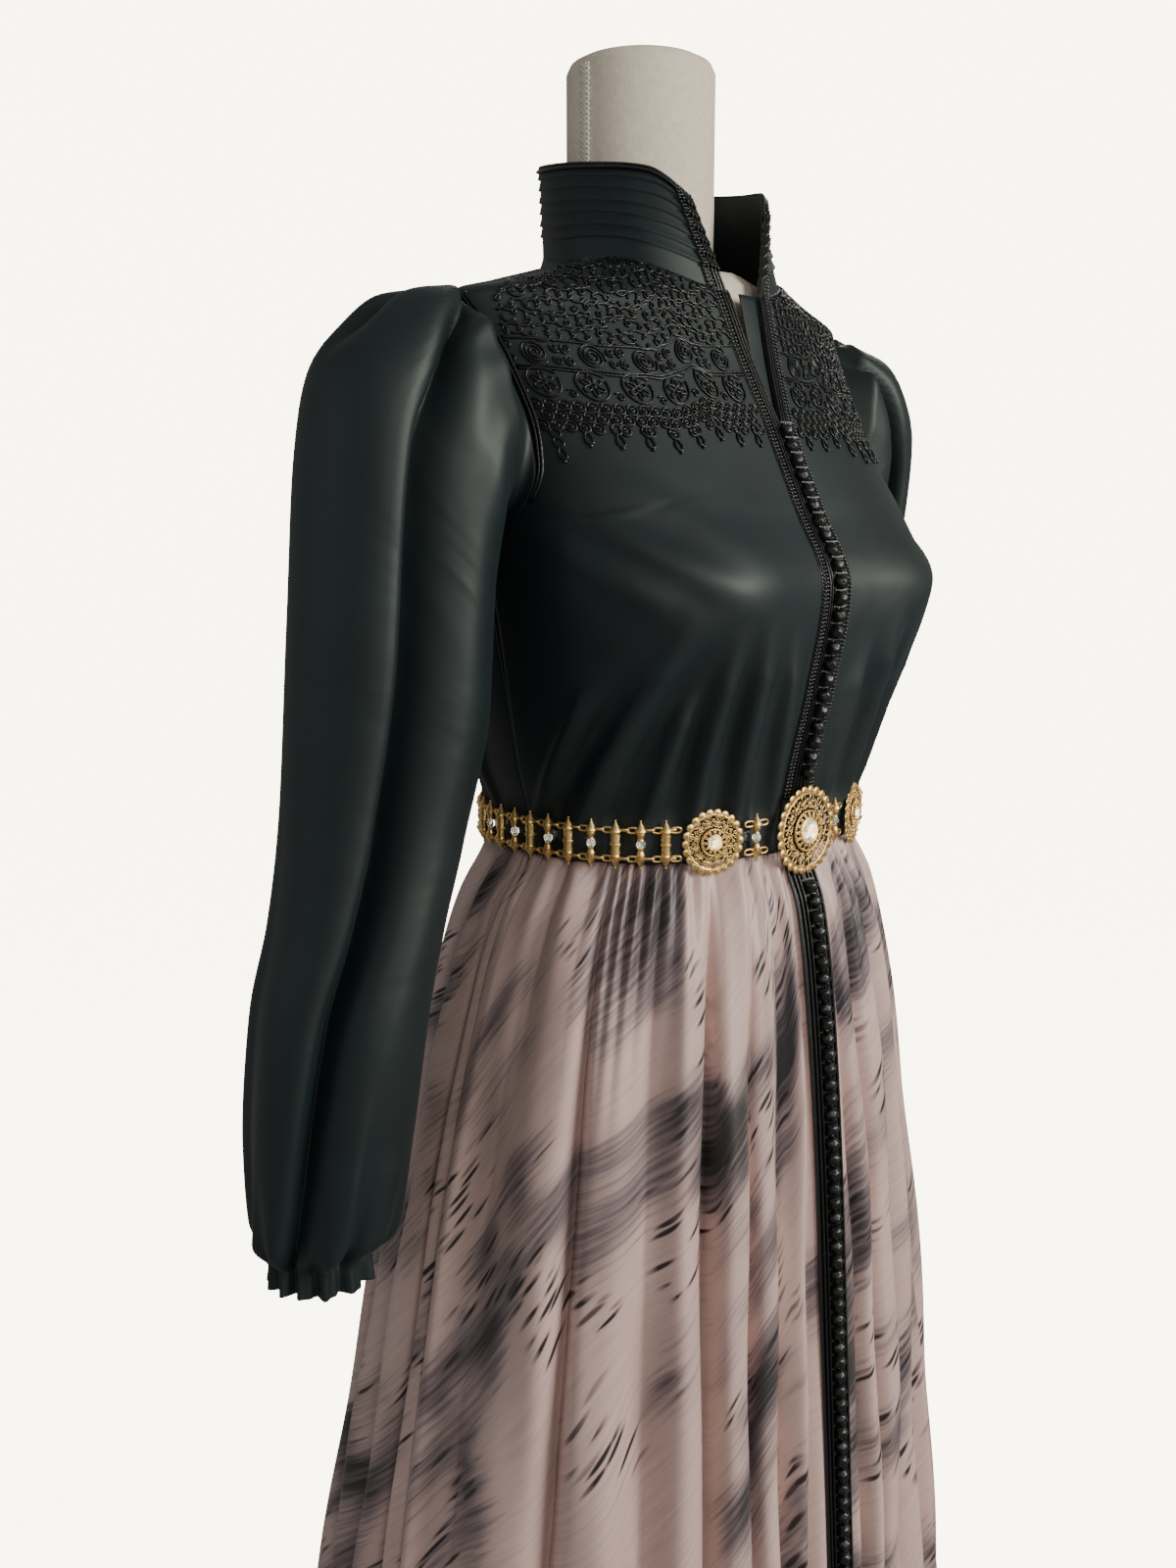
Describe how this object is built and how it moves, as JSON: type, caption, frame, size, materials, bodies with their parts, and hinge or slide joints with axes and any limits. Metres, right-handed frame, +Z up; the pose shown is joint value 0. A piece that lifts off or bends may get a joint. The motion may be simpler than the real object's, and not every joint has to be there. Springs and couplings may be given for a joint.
{
  "type": "kaftan on a dress form",
  "caption": "Long belted kaftan with a buttoned front, stand collar, puffed sleeves and gathered skirt, worn by a limbless dress form on a round base.",
  "frame": {"origin": "centre of the underside of the stand's round base", "axes": "+Z up; the garment's front faces -Y; the wearer's right side is at -X"},
  "size_m": [0.6888, 0.5883, 1.57],
  "materials": {
    "satin_dark": "dark bottle-green satin, near black",
    "satin_print": "dusty rose satin with a brush-stroke print",
    "cord_black": "black soutache cord, satin",
    "gilt": "gilt filigree, polished",
    "crystal": "cut glass",
    "linen": "plain linen over a padded form",
    "pole_steel": "plated tube",
    "base_paint": "cream paint, satin"
  },
  "bodies": {
    "root": {"bodice_front_right": "satin_dark", "bodice_front_left": "satin_dark", "bodice_back": "satin_dark", "sleeve_right": "satin_dark", "sleeve_left": "satin_dark", "collar": "satin_dark", "skirt_front_right": "satin_print", "skirt_front_left": "satin_print", "skirt_back": "satin_print", "yoke_embroidery_right": "cord_black", "yoke_embroidery_left": "cord_black", "armhole_cord_right": "cord_black", "armhole_cord_left": "cord_black", "braid_front_right": "cord_black", "braid_front_left": "cord_black", "braid_skirt_right": "cord_black", "braid_skirt_left": "cord_black", "buttons_bodice": "cord_black", "buttons_skirt": "cord_black", "belt_chain_right": "gilt", "belt_chain_left": "gilt", "belt_link_right": "gilt", "belt_link_left": "gilt", "medallion_centre": "gilt", "medallion_right": "gilt", "medallion_left": "gilt", "stone_centre": "crystal", "stone_right": "crystal", "stone_left": "crystal", "form_torso": "linen", "form_neck": "linen", "form_pole": "pole_steel", "form_base": "base_paint"}
  },
  "joints": []
}
